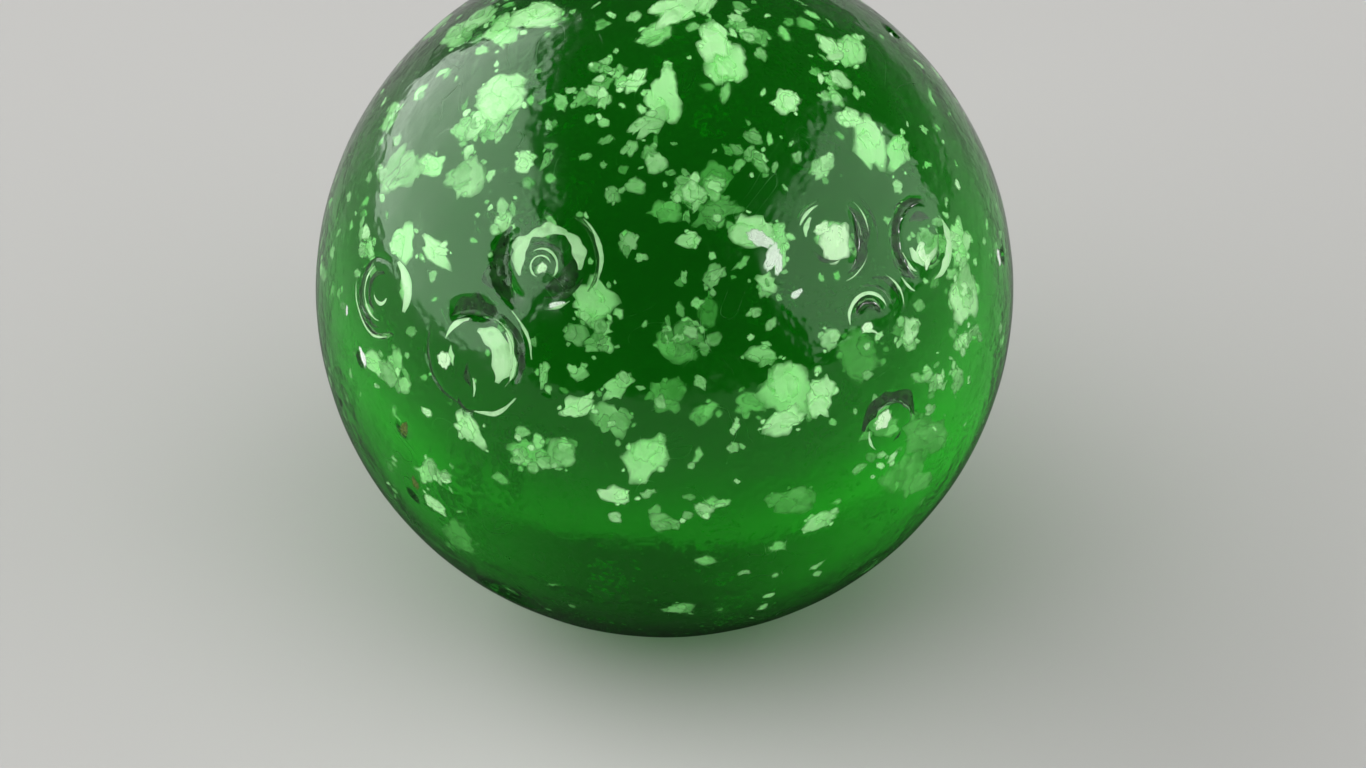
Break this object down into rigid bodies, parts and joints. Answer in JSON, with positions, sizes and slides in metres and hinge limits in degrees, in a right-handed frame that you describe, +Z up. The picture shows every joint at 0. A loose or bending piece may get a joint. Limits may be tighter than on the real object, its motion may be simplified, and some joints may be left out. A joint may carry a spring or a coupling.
{
  "type": "glass marble",
  "caption": "Solid ball of clear green glass with pale mica flakes under its surface, struck cone cracks and small chips.",
  "frame": {"origin": "centre of the ball", "axes": "+Z up, front towards -Y; the marked side with the moons faces the front and 35 degrees upwards"},
  "size_m": [0.0254, 0.0254, 0.0254],
  "materials": {
    "green_glass": "worn gloss",
    "mica": "satin glitter"
  },
  "bodies": {
    "root": {"marble_body": "green_glass", "mica_flakes": "mica"}
  },
  "joints": []
}
